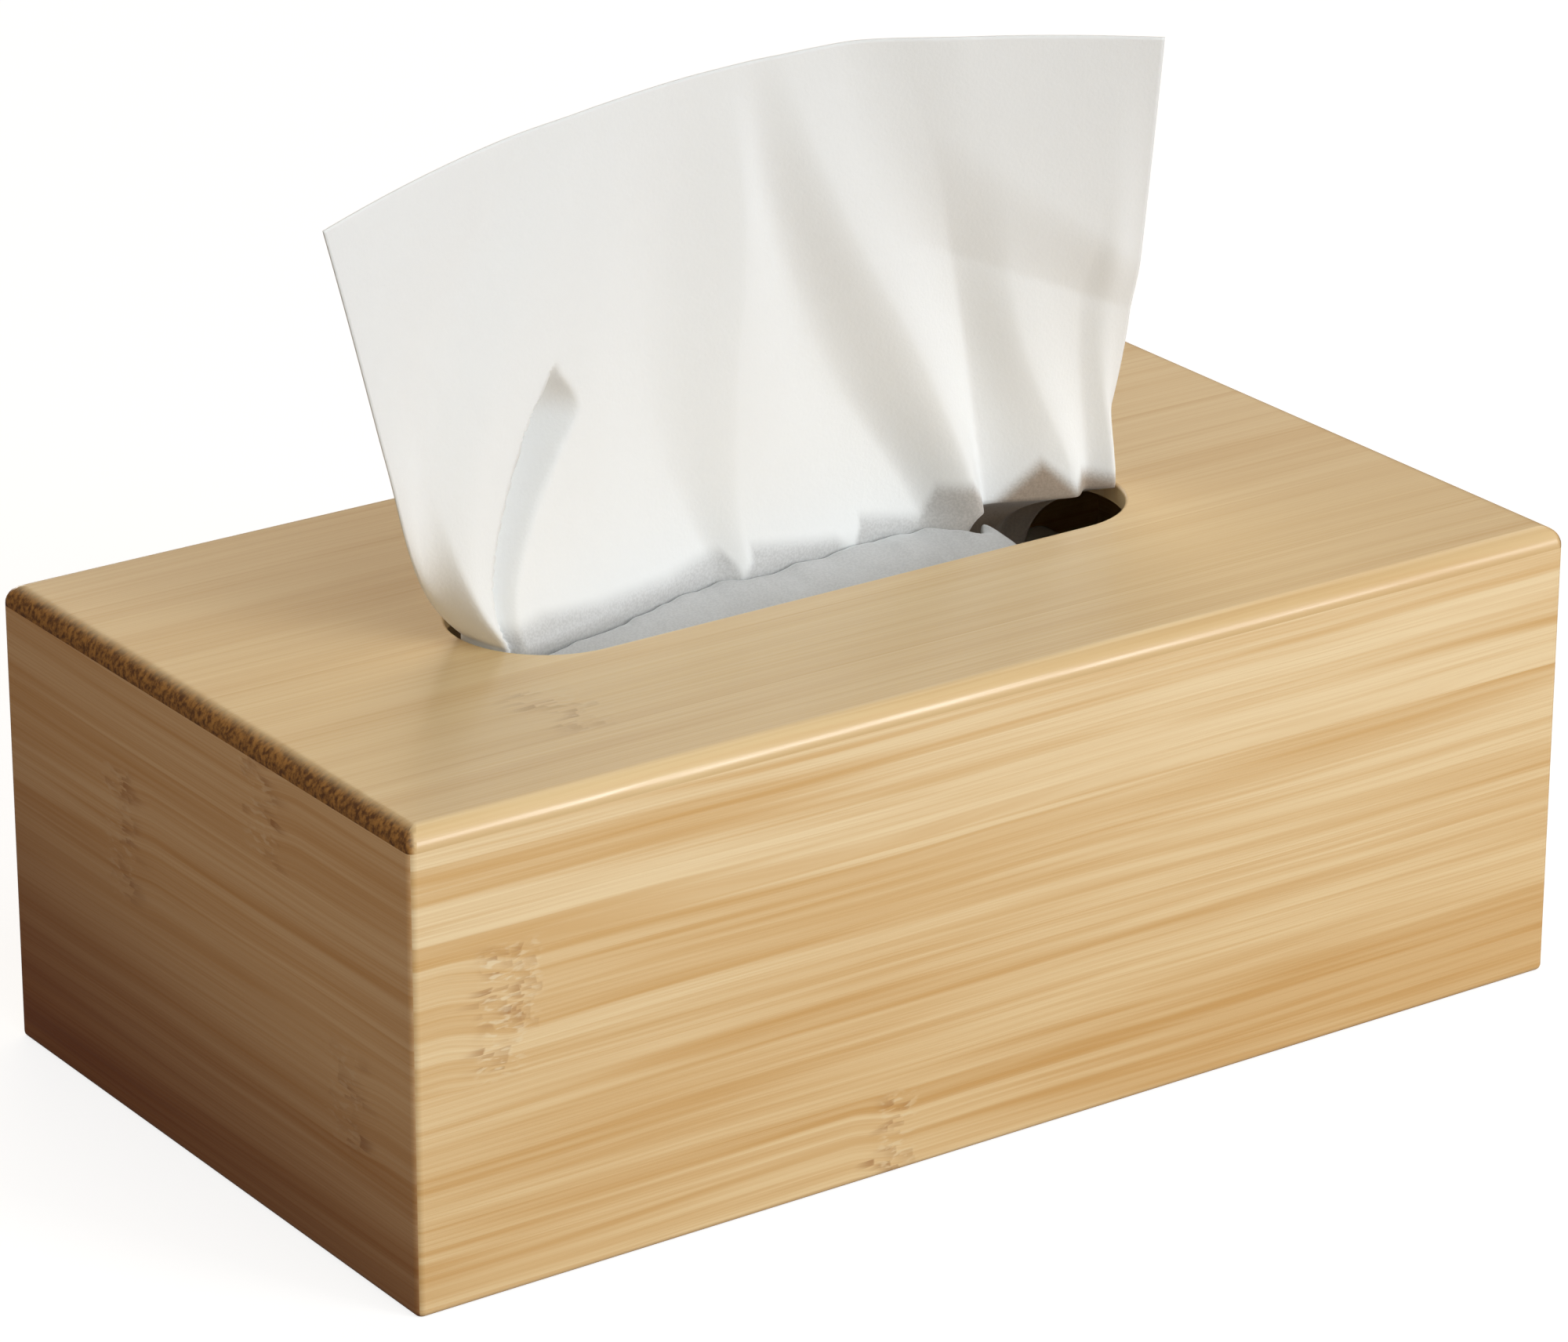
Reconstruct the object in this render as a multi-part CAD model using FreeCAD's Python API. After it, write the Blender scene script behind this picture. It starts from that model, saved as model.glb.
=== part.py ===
import FreeCAD, Part
import math
import os

# A bamboo tissue box with its tissues, in millimetres. The origin is the middle of the box's foot print,
# +X runs along the box's length, +Y towards its back and +Z up.

# The box outside
BOX_LENGTH = 252.0
BOX_WIDTH = 139.0
BOX_HEIGHT = 90.0

# The boards that it is glued up from
TOP_THICKNESS = 4.0
WALL_THICKNESS = 6.0
BASE_THICKNESS = 4.0

# Sanded edges
TOP_ROUND = 3.6
CORNER_ROUND = 1.5
FOOT_ROUND = 1.2

# The slot in the top board, with two round ends
SLOT_LENGTH = 144.0
SLOT_WIDTH = 37.0
SLOT_EDGE_ROUND = 0.7

# Grooves that the base board slides in, and the lips below them
GROOVE_DEPTH = 3.0
LIP_HEIGHT = 2.5
BASE_SIDE_PLAY = 0.25
BASE_TOP_PLAY = 0.3
BASE_STOP_PLAY = 0.25

# Thumb hollow in the underside of the base board, near its open end
THUMB_LENGTH = 34.0
THUMB_WIDTH = 14.0
THUMB_DEPTH = 1.6
THUMB_INSET = 9.0

# The pack of folded tissues that lies on the base
STACK_LENGTH = 190.0
STACK_WIDTH = 98.0
STACK_HEIGHT = 55.0
STACK_EDGE_ROUND = 3.0

# One tissue: its cut width and the thickness of its soft layers
TISSUE_WIDTH = 188.0
TISSUE_THICKNESS = 0.4
TISSUE_CLEARANCE = 0.3

# The tissue that is pulled up: how far it stands out of the slot, and how it fans out at its top edge,
# past the slot's left end and nearly to its right end
STANDING_HEIGHT = 95.3
TOP_EDGE_PAST_LEFT = 35.0
TOP_EDGE_INSET_RIGHT = 2.5
TOP_EDGE_FORWARD = 15.0
TOP_EDGE_BACK = 3.0
TOP_EDGE_DROP_LEFT = 9.3
TOP_EDGE_DROP_RIGHT = 4.3
TOP_EDGE_PEAK = 128.0
TOP_EDGE_DROP_POWER = 1.4
LEAN_POWER = 0.7
LEFT_BULGE = 0.35
LEFT_BULGE_POWER = 7

# How its line runs across the slot, from the left end to the right end: distance behind the slot's middle
LINE_LEFT = -8.0
LINE_MIDDLE = 4.0
LINE_RIGHT = -2.0
LINE_RISE_END = 0.5
LINE_FALL_START = 0.65

# Where its two edges curl round the slot's ends: the paper that takes, and the angles it runs between
END_GAP = 1.2
END_BLEND_POWER = 3
CURL_REACH = 0.45
LEFT_CURL = 10.0
LEFT_CURL_REAR = 5.0
LEFT_CURL_FRONT = -35.0
RIGHT_CURL = 8.0
RIGHT_CURL_REAR = 10.0
RIGHT_CURL_FRONT = -15.0

# Its fold lines, from left to right: ridges, that stand forward, and hollows between them. Each has its place
# across the tissue, from the left edge, and how far it stands forward, at four heights from the slot to the
# top edge, and how sharply it is creased, from 0 to 1.
FOLD_LINES = (
    ((3.0, 6.0, 22.0, 48.0), (-0.4, -0.9, -0.9, -0.1), 0.0),
    ((7.0, 20.0, 43.0, 68.0), (0.6, 1.0, 0.8, 0.2), 0.0),
    ((20.0, 46.0, 66.0, 82.0), (0.4, 0.9, 0.6, 0.2), 0.0),
    ((78.0, 69.0, 74.0, 88.0), (-0.8, -1.4, -0.9, 0.0), 0.0),
    ((83.5, 93.0, 103.0, 108.0), (2.2, 2.2, 1.0, 0.2), 0.9),
    ((130.0, 115.0, 112.0, 112.5), (-1.8, -2.2, -1.5, -0.3), 0.2),
    ((147.0, 134.5, 125.5, 118.0), (4.2, 3.6, 2.4, 0.8), 0.3),
    ((152.5, 147.0, 142.0, 134.0), (-1.2, -1.8, -0.7, 0.0), 0.9),
    ((165.0, 157.0, 153.0, 151.0), (1.2, 1.2, 0.2, 0.0), 0.2),
    ((170.0, 168.5, 168.0, 168.0), (-1.4, -0.3, 0.0, 0.0), 0.6),
    ((178.0, 178.0, 179.0, 180.0), (0.8, 0.4, 0.0, 0.0), 0.2),
)

# The dart at its left, where the slot folds the sheet over itself: the flap's edge stands before the sheet
DART_PLACES = (9.5, 29.5, 60.0, 80.0)
DART_DEPTH = 3.2
DART_TOP = 50.0
DART_CLOSING = 10.0
DART_EDGE = 1.2
DART_WIDTH = 6.5

# A soft fold that crosses the upper right of the tissue: the sheet above it stands further forward
CROSS_FOLD_START = 125.0
CROSS_FOLD_FULL = 150.0
CROSS_FOLD_LOW = (54.0, 38.0)
CROSS_FOLD_HIGH = (83.0, 50.0)
CROSS_FOLD_STEP = 2.2

# Where the pulled tissue hangs to the pack below the slot, and runs back on it
LYING_REAR_INSET = 6.0
BEND_RADIUS = 6.0
BEND_LIFT = 1.8
BEND_SHARE = 0.6
BEND_FADE = 4
HANGING_ROWS = (0.1, 0.3, 0.7)
LYING_ROWS = (0.0, 0.3, 0.65, 1.0)

# Where its right side turns back at once below the rim and draws in, so that the slot lies open there
TURN_START = 36.0
TURN_FULL = 52.0
TURN_BACK = 15.0
TURN_IN = 7.0
TURN_POWER = 6

# The next tissue: it rises from the front of the pack, bulges up behind the slot's near rim, and its
# crumpled free edge tucks in before the pulled one
NEXT_INSET_LEFT = 9.0
NEXT_INSET_RIGHT = 26.0
NEXT_FRONT_INSET = 6.0
NEXT_RIM_GAP = 3.0
NEXT_SHEET_GAP = 2.0
NEXT_CREST_DEPTH = 3.6
NEXT_EDGE_DEPTH = 8.0

# Its rows from the front of the pack to the free edge: the share of the way to the near rim, the share of the
# way from there to the pulled tissue, the share of the height from the pack to the crest, the share of the
# drop from the crest to the free edge, and how much of the crumpling it takes
NEXT_ROWS = (
    (0.0, 0.0, 0.0, 0.0, 0.0),
    (0.55, 0.0, 0.04, 0.0, 0.2),
    (0.85, 0.0, 0.25, 0.0, 0.5),
    (1.0, 0.0, 0.75, 0.0, 1.0),
    (1.0, 0.3, 1.0, 0.0, 1.0),
    (1.0, 0.65, 1.0, 0.3, 1.0),
    (1.0, 1.0, 1.0, 1.0, 0.8),
)
CRUMPLE_DEPTH = 0.8
CRUMPLE_LENGTH = 21.0
CRUMPLE_SECOND = 0.6
CRUMPLE_SECOND_RATE = 1.7
CRUMPLE_SHIFT = 0.7

# How finely the tissues are faceted
COLUMNS = 62
STANDING_ROWS = 13
NEXT_COLUMNS = 30

# Places that follow from the sizes above
RIM_Z = BOX_HEIGHT
TOP_BOARD_Z = BOX_HEIGHT - TOP_THICKNESS
BASE_TOP_Z = LIP_HEIGHT + BASE_THICKNESS
STACK_TOP_Z = BASE_TOP_Z + STACK_HEIGHT
LYING_Z = STACK_TOP_Z + TISSUE_CLEARANCE
FOLDS_FORWARD = max(depths[0] for places, depths, sharp in FOLD_LINES)
TOP_EDGE_LEFT = -SLOT_LENGTH / 2 - TOP_EDGE_PAST_LEFT
TOP_EDGE_RIGHT = SLOT_LENGTH / 2 - TOP_EDGE_INSET_RIGHT


def vector(x, y, z):
    return FreeCAD.Vector(x, y, z)


def block(length, width, low_z, high_z, middle_x=0.0, middle_y=0.0):
    """A rectangular block centred on a point of the plan, between two heights."""
    corner = vector(middle_x - length / 2, middle_y - width / 2, low_z)
    return Part.makeBox(length, width, high_z - low_z, corner)


def prism(plan_points, low_z, high_z):
    """A straight prism over a closed outline in plan."""
    corners = [vector(x, y, low_z) for x, y in plan_points]
    outline = Part.makePolygon(corners + corners[:1])
    return Part.Face(outline).extrude(vector(0, 0, high_z - low_z))


def long_hole(length, width, low_z, high_z, middle_x=0.0, middle_y=0.0):
    """A round-ended block, as a router cuts it."""
    half_run = (length - width) / 2
    body = block(length - width, width, low_z, high_z, middle_x, middle_y)
    for side in (-1, 1):
        centre = vector(middle_x + side * half_run, middle_y, low_z)
        body = body.fuse(Part.makeCylinder(width / 2, high_z - low_z, centre))
    return body.removeSplitter()


def edges_where(shape, test):
    """The edges whose every end point passes the test."""
    return [edge for edge in shape.Edges if all(test(v.Point) for v in edge.Vertexes)]


def sanded_form():
    """The outside of the glued box, with its sanded edges, that all the boards are shaped to."""
    form = block(BOX_LENGTH, BOX_WIDTH, 0, BOX_HEIGHT)
    form = form.makeFillet(TOP_ROUND, edges_where(form, lambda p: p.z > BOX_HEIGHT - 0.01))
    upright = [edge for edge in form.Edges if abs(edge.tangentAt(edge.FirstParameter).z) > 0.999]
    upright = [edge for edge in upright if edge.Length > BOX_HEIGHT / 2]
    form = form.makeFillet(CORNER_ROUND, upright)
    return form.makeFillet(FOOT_ROUND, edges_where(form, lambda p: p.z < 0.01))


def slot_tool():
    return long_hole(SLOT_LENGTH, SLOT_WIDTH, TOP_BOARD_Z - 1, BOX_HEIGHT + 1)


def top_board(form):
    """The thin board that lies over the four walls, with the tissue slot."""
    board = form.common(block(BOX_LENGTH, BOX_WIDTH, TOP_BOARD_Z, BOX_HEIGHT))
    board = board.cut(slot_tool())
    inside = SLOT_LENGTH / 2 + 1
    rim = [edge for edge in board.Edges
           if abs(edge.CenterOfMass.x) < inside and abs(edge.CenterOfMass.y) < SLOT_WIDTH / 2 + 1]
    rim = [edge for edge in rim if all(v.Z > BOX_HEIGHT - 0.01 for v in edge.Vertexes)]
    return board.makeFillet(SLOT_EDGE_ROUND, rim)


def groove_tool():
    """The space of the groove: the base board's outline and its play, open at the right end."""
    left = -BOX_LENGTH / 2 + WALL_THICKNESS - GROOVE_DEPTH
    right = BOX_LENGTH / 2 + 1
    width = BOX_WIDTH - 2 * (WALL_THICKNESS - GROOVE_DEPTH)
    return block(right - left, width, LIP_HEIGHT, BASE_TOP_Z + BASE_TOP_PLAY, (left + right) / 2)


def wall(form, corner_signs):
    """One wall between two mitred corners. The signs give the side of the box's two outer corners."""
    outer_x = BOX_LENGTH / 2
    outer_y = BOX_WIDTH / 2
    inner_x = outer_x - WALL_THICKNESS
    inner_y = outer_y - WALL_THICKNESS
    (ax, ay), (bx, by) = corner_signs
    plan = [(ax * outer_x, ay * outer_y), (bx * outer_x, by * outer_y),
            (bx * inner_x, by * inner_y), (ax * inner_x, ay * inner_y)]
    board = prism(plan, 0, TOP_BOARD_Z).common(form)
    return board.cut(groove_tool())


def right_wall(form):
    """The wall over the base board's way out: its foot is cut away between two small end feet."""
    board = wall(form, ((1, -1), (1, 1)))
    width = BOX_WIDTH - 2 * (WALL_THICKNESS - GROOVE_DEPTH)
    way_out = block(2 * WALL_THICKNESS + 2, width, -1, BASE_TOP_Z + BASE_TOP_PLAY, BOX_LENGTH / 2)
    return board.cut(way_out)


def base_board():
    """The sliding base, with a thumb hollow below its open end."""
    left = -BOX_LENGTH / 2 + WALL_THICKNESS - GROOVE_DEPTH + BASE_STOP_PLAY
    right = BOX_LENGTH / 2
    width = BOX_WIDTH - 2 * (WALL_THICKNESS - GROOVE_DEPTH) - 2 * BASE_SIDE_PLAY
    board = block(right - left, width, LIP_HEIGHT, BASE_TOP_Z, (left + right) / 2)
    hollow_x = right - THUMB_INSET - THUMB_WIDTH / 2
    hollow = long_hole(THUMB_LENGTH, THUMB_WIDTH, LIP_HEIGHT - 1, LIP_HEIGHT + THUMB_DEPTH)
    hollow.rotate(vector(0, 0, 0), vector(0, 0, 1), 90)
    hollow.translate(vector(hollow_x, 0, 0))
    return board.cut(hollow)


def tissue_stack():
    """The folded tissues, close packed, with the soft rounded edges of a pile."""
    pile = block(STACK_LENGTH, STACK_WIDTH, BASE_TOP_Z, STACK_TOP_Z)
    soft = edges_where(pile, lambda p: p.z > STACK_TOP_Z - 0.01)
    soft = soft + [edge for edge in pile.Edges if abs(edge.tangentAt(0).z) > 0.99]
    return pile.makeFillet(STACK_EDGE_ROUND, soft)


def ease(value):
    """0 below 0, 1 above 1, and a smooth rise between."""
    value = min(max(value, 0.0), 1.0)
    return value * value * (3 - 2 * value)


def mix(first, second, share):
    return first + (second - first) * share


def slot_line(x):
    """Where the pulled tissue stands in the slot, at a place across: its distance behind the middle."""
    share = (x + SLOT_LENGTH / 2) / SLOT_LENGTH
    rise = ease(share / LINE_RISE_END)
    fall = ease((share - LINE_FALL_START) / (1 - LINE_FALL_START))
    line = mix(LINE_LEFT, LINE_MIDDLE, rise)
    return mix(line, LINE_RIGHT, fall)


def at_height(values, up):
    """A smooth value between the four that a fold line has from the slot to the top edge."""
    place = min(max(up, 0.0), 1.0) * 3
    low = min(int(place), 2)
    share = place - low
    before = values[max(low - 1, 0)]
    first, second = values[low], values[low + 1]
    after = values[min(low + 2, 3)]
    turn = 2 * before - 5 * first + 4 * second - after
    bend = 3 * (first - second) + after - before
    return first + 0.5 * share * (second - before + share * (turn + share * bend))


def between_lines(start, end, share, start_sharp, end_sharp):
    """The rise from one fold line to the next: level at a soft line, and straight into a sharp one."""
    square = share * share
    cube = square * share
    rise = 3 * square - 2 * cube
    rise = rise + (cube - 2 * square + share) * start_sharp + (cube - square) * end_sharp
    return mix(start, end, rise)


def cross_fold(place, up):
    """How far the soft cross fold brings the sheet forward."""
    along = (place - CROSS_FOLD_START) / (TISSUE_WIDTH - CROSS_FOLD_START)
    low = mix(*CROSS_FOLD_LOW, along)
    high = mix(*CROSS_FOLD_HIGH, along)
    fade = ease((place - CROSS_FOLD_START) / (CROSS_FOLD_FULL - CROSS_FOLD_START))
    return CROSS_FOLD_STEP * fade * ease((up * STANDING_HEIGHT - low) / (high - low))


def dart(place, up):
    """How far the sheet drops back behind the flap's edge, before it comes forward again."""
    beyond = place - at_height(DART_PLACES, up)
    closing = (up * STANDING_HEIGHT - DART_TOP + DART_CLOSING) / DART_CLOSING
    depth = DART_DEPTH * (1 - ease(closing))
    return depth * ease(beyond / DART_EDGE) * math.exp(-max(beyond, 0) / DART_WIDTH)


def folds(share, up):
    """How far all the folds bring the sheet forward, at a share of its width and of its height."""
    place = share * TISSUE_WIDTH
    before = (0.0, 0.0, 0.0)
    for places, depths, sharp in FOLD_LINES + (((TISSUE_WIDTH,) * 4, (0.0,) * 4, 0.0),):
        line = (at_height(places, up), at_height(depths, up), sharp)
        if place <= line[0]:
            break
        before = line
    share_between = (place - before[0]) / max(line[0] - before[0], TISSUE_THICKNESS)
    forward = between_lines(before[1], line[1], share_between, before[2], line[2])
    return forward + cross_fold(place, up) - dart(place, up)


def round_end(side, angle):
    """A point beside the slot's round end, by its angle from the slot's long axis."""
    radius = SLOT_WIDTH / 2 - END_GAP
    centre = SLOT_LENGTH / 2 - SLOT_WIDTH / 2
    turn = math.radians(angle)
    return side * (centre + radius * math.cos(turn)), radius * math.sin(turn)


def rim_place(share):
    """Where a column of the pulled tissue passes the rim: round the left end, across, round the right end."""
    left_share = LEFT_CURL / TISSUE_WIDTH
    right_share = RIGHT_CURL / TISSUE_WIDTH
    if share < left_share:
        return round_end(-1, mix(LEFT_CURL_REAR, LEFT_CURL_FRONT, share / left_share))
    if share > 1 - right_share:
        return round_end(1, mix(RIGHT_CURL_REAR, RIGHT_CURL_FRONT, (1 - share) / right_share))
    start_x, start_y = round_end(-1, LEFT_CURL_FRONT)
    end_x, end_y = round_end(1, RIGHT_CURL_FRONT)
    across = (share - left_share) / (1 - left_share - right_share)
    x = mix(start_x, end_x, across)
    ends = mix(start_y - slot_line(start_x), end_y - slot_line(end_x), across)
    return x, slot_line(x) + ends * abs(2 * across - 1) ** END_BLEND_POWER


def pulled_point(share, height):
    """A point of the pulled tissue: share runs from its left to its right edge, height from the rim."""
    up = height / STANDING_HEIGHT
    rim_x, rim_y = rim_place(share)
    straight_x = mix(-1, 1, share) * (SLOT_LENGTH / 2 - END_GAP)
    straight = ease(up / CURL_REACH)
    rim_x, rim_y = mix(rim_x, straight_x, straight), mix(rim_y, slot_line(straight_x), straight)
    top_x = mix(TOP_EDGE_LEFT, TOP_EDGE_RIGHT, share)
    from_middle = abs(2 * share - 1)
    top_y = TOP_EDGE_BACK - (TOP_EDGE_FORWARD + TOP_EDGE_BACK) * from_middle ** 2
    fanned = mix(up, 1 - (1 - up) ** LEFT_BULGE_POWER, LEFT_BULGE)
    x = mix(rim_x, top_x, mix(fanned, up, share))
    y = mix(rim_y, top_y, up ** LEAN_POWER)
    inside = ease(share * TISSUE_WIDTH / LEFT_CURL) * ease((1 - share) * TISSUE_WIDTH / RIGHT_CURL)
    y = y - folds(share, up) * mix(inside, 1.0, up)
    peak = TOP_EDGE_PEAK / TISSUE_WIDTH
    left_drop = TOP_EDGE_DROP_LEFT * max(1 - share / peak, 0) ** TOP_EDGE_DROP_POWER
    right_drop = TOP_EDGE_DROP_RIGHT * max((share - peak) / (1 - peak), 0) ** TOP_EDGE_DROP_POWER
    return x, y, RIM_Z + height - (left_drop + right_drop) * up ** 2


def across_direction(rows, row, column):
    """The direction square to the sheet at a point of its grid."""
    last_row = len(rows) - 1
    last_column = len(rows[0]) - 1
    right = vector(*rows[row][min(column + 1, last_column)])
    left = vector(*rows[row][max(column - 1, 0)])
    below = vector(*rows[min(row + 1, last_row)][column])
    above = vector(*rows[max(row - 1, 0)][column])
    return (right - left).cross(below - above).normalize()


def facet(*corners):
    return Part.Face(Part.makePolygon(list(corners) + [corners[0]]))


def facets_between(first_line, second_line):
    """The strip of flat facets between two lines of points, two to each pair of steps."""
    facets = []
    for step in range(len(first_line) - 1):
        a, b = first_line[step], first_line[step + 1]
        c, d = second_line[step + 1], second_line[step]
        facets.append(facet(a, b, c))
        facets.append(facet(a, c, d))
    return facets


def sheet_solid(rows):
    """A thin sheet of even thickness: a front and a back of small facets, and its cut edges."""
    nets = []
    for push in (-TISSUE_THICKNESS / 2, TISSUE_THICKNESS / 2):
        nets.append([[vector(*rows[row][column]) + across_direction(rows, row, column) * push
                      for column in range(len(rows[0]))]
                     for row in range(len(rows))])
    facets = []
    for net in nets:
        for upper, lower in zip(net[:-1], net[1:]):
            facets = facets + facets_between(upper, lower)
    near, far = nets
    for row in (0, -1):
        facets = facets + facets_between(near[row], far[row])
    for column in (0, -1):
        facets = facets + facets_between([line[column] for line in near], [line[column] for line in far])
    shell = Part.makeShell(facets)
    shell.sewShape()
    solid = Part.makeSolid(shell)
    if solid.Volume < 0:
        solid.reverse()
    return solid


def turned_back(x, depth):
    """How far the right side has turned back at a share of its way from the rim to the pack, from 0 to 1."""
    return ease((x - TURN_START) / (TURN_FULL - TURN_START)) * (1 - (1 - depth) ** TURN_POWER)


def hanging_point(x, y, depth):
    """A point of the pulled tissue below the rim, at a share of its way down to the pack."""
    drop = RIM_Z - LYING_Z - BEND_RADIUS / 2
    turned = turned_back(x, depth)
    back = mix(y, BEND_RADIUS, ease(depth) / 2) + turned * TURN_BACK
    return x - turned * TURN_IN, back, RIM_Z - depth * drop


def lying_point(x, y, run):
    """A point of the pulled tissue on the pack, at a share of its way to the rear."""
    turned = turned_back(x, 1.0)
    start = mix(y, BEND_RADIUS, BEND_SHARE) + BEND_RADIUS + turned * TURN_BACK
    rear = STACK_WIDTH / 2 - LYING_REAR_INSET
    lift = BEND_LIFT * (1 - run) ** BEND_FADE
    return x - turned * TURN_IN, mix(start, rear, run), LYING_Z + TISSUE_THICKNESS / 2 + lift


def pulled_tissue():
    """The tissue that stands out of the slot, down to the pack and back along it."""
    rows = []
    for number in range(STANDING_ROWS):
        height = STANDING_HEIGHT * (1 - number / (STANDING_ROWS - 1))
        rows.append([pulled_point(column / (COLUMNS - 1), height) for column in range(COLUMNS)])
    foot = rows[-1]
    for depth in HANGING_ROWS:
        rows.append([hanging_point(x, y, depth) for x, y, z in foot])
    for run in LYING_ROWS:
        rows.append([lying_point(x, y, run) for x, y, z in foot])
    return sheet_solid(rows)


def crumple(x, row):
    """Small uneven waves of the next tissue, each row a little out of step with the one before."""
    turn = 2 * math.pi * x / CRUMPLE_LENGTH
    second = math.sin(CRUMPLE_SECOND_RATE * turn + 2 - CRUMPLE_SHIFT * row)
    return CRUMPLE_DEPTH * (math.sin(turn + row) + CRUMPLE_SECOND * second)


def next_tissue():
    """The next tissue: from the front of the pack, up behind the near rim, to its tucked free edge."""
    left = -SLOT_LENGTH / 2 + NEXT_INSET_LEFT
    right = SLOT_LENGTH / 2 - NEXT_INSET_RIGHT
    front = -STACK_WIDTH / 2 + NEXT_FRONT_INSET
    near = -SLOT_WIDTH / 2 + NEXT_RIM_GAP
    lying = LYING_Z + TISSUE_THICKNESS / 2
    crest = RIM_Z - NEXT_CREST_DEPTH - CRUMPLE_DEPTH
    edge = RIM_Z - NEXT_EDGE_DEPTH
    rows = []
    for number, (to_rim, to_sheet, to_crest, to_edge, waves) in enumerate(NEXT_ROWS):
        level = mix(mix(lying, crest, to_crest), edge, to_edge)
        row = []
        for column in range(NEXT_COLUMNS):
            x = mix(left, right, column / (NEXT_COLUMNS - 1))
            pulled = slot_line(x) - FOLDS_FORWARD - NEXT_SHEET_GAP
            y = mix(mix(front, near, to_rim), max(pulled, near), to_sheet)
            row.append((x, y, level + waves * crumple(x, number)))
        rows.append(row)
    rows.reverse()
    return sheet_solid(rows)


def main():
    form = sanded_form()
    pieces = {
        "top_panel": top_board(form),
        "front_wall": wall(form, ((-1, -1), (1, -1))),
        "back_wall": wall(form, ((1, 1), (-1, 1))),
        "left_wall": wall(form, ((-1, 1), (-1, -1))),
        "right_wall": right_wall(form),
        "base_panel": base_board(),
        "tissue_stack": tissue_stack(),
        "next_tissue": next_tissue(),
        "pulled_tissue": pulled_tissue(),
    }
    os.makedirs("parts", exist_ok=True)
    for name, shape in pieces.items():
        shape.exportStep(os.path.join("parts", name + ".step"))
        print(name, "valid", shape.isValid(), "solids", len(shape.Solids), "volume", round(shape.Volume, 1))


main()
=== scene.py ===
# %% [markdown]
# # A bamboo tissue box
# The box is glued up from thin bamboo boards, and one tissue stands out of the slot in its top. The packed
# model brings every board at its real size, so this script makes the finishes, the soft tissues, the light
# and the camera. All lengths are metres, and the frame's origin is the middle of the box's foot.

# %% Load the frame
import bpy
import math
from mathutils import Matrix, Vector, noise as solid_noise


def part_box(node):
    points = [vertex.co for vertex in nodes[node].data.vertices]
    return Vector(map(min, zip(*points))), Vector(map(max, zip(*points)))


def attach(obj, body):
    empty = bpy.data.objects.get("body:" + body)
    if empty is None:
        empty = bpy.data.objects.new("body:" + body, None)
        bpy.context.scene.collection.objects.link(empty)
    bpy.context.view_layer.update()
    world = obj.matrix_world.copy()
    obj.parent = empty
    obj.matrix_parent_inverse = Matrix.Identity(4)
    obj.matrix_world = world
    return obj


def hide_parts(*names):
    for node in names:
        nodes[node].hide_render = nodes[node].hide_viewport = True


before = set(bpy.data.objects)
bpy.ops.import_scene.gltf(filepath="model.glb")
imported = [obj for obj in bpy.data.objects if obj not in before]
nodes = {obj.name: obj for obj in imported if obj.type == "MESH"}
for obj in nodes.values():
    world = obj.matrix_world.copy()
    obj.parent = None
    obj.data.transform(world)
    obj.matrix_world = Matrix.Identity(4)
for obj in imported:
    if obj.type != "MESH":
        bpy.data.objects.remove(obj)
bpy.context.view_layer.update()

# %% [markdown]
# ## The camera
# The photograph was taken with a long lens, from the front left and a little above: its parallel edges
# hardly draw together. The four corners of the top and the two long edges of the foot fix the place, the
# angles and the lens. The camera turns about its aim point, so its place is worked out from the angles.

# %% Camera at the photograph's angle
AIM = Vector((0.0108, 0.0181, 0.0586))
AIM_DISTANCE = 1.2291
HEADING = math.radians(35.04)
PITCH = math.radians(21.93)
ROLL = math.radians(0.148)
SENSOR_WIDTH = 36.0
FOCAL_IN_PIXELS = 8351.5
PHOTO_WIDTH = 2000
FARTHEST_SEEN = 20


def make_camera():
    data = bpy.data.cameras.new("photo_camera")
    data.sensor_width = SENSOR_WIDTH
    data.lens = FOCAL_IN_PIXELS / PHOTO_WIDTH * SENSOR_WIDTH
    data.clip_end = FARTHEST_SEEN
    camera = bpy.data.objects.new("photo_camera", data)
    bpy.context.scene.collection.objects.link(camera)
    turn = Matrix.Rotation(-HEADING, 4, "Z") @ Matrix.Rotation(math.pi / 2 - PITCH, 4, "X")
    turn = turn @ Matrix.Rotation(ROLL, 4, "Z")
    camera.matrix_world = Matrix.Translation(AIM + turn @ Vector((0, 0, AIM_DISTANCE))) @ turn
    return camera


camera = make_camera()
bpy.context.scene.camera = camera
print("camera", [round(x, 4) for x in camera.matrix_world.translation], "lens", round(camera.data.lens, 1))

# %% [markdown]
# ## Small helpers for nodes
# A material is a tree of nodes. Writing each node out takes many lines, so one helper adds a node with its
# settings and inputs, where an input may be a number or another node's output. Colours are written as they
# look on a screen, and are turned into the linear values that the shader wants.

# %% Colour and node helpers
def colour(red, green, blue):
    """A screen colour, 0 to 255, as the linear colour of a shader."""
    values = [channel / 255 for channel in (red, green, blue)]
    linear = [v / 12.92 if v <= 0.04045 else ((v + 0.055) / 1.055) ** 2.4 for v in values]
    return (*linear, 1.0)


def add(tree, kind, inputs=None, **settings):
    """A new node. Inputs are numbers, colours or the outputs of other nodes."""
    node = tree.nodes.new(kind)
    for name, value in settings.items():
        setattr(node, name, value)
    for socket, value in (inputs or {}).items():
        if isinstance(value, bpy.types.NodeSocket):
            tree.links.new(value, node.inputs[socket])
        else:
            node.inputs[socket].default_value = value
    return node


print("a mid grey is", [round(value, 3) for value in colour(128, 128, 128)])

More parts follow.
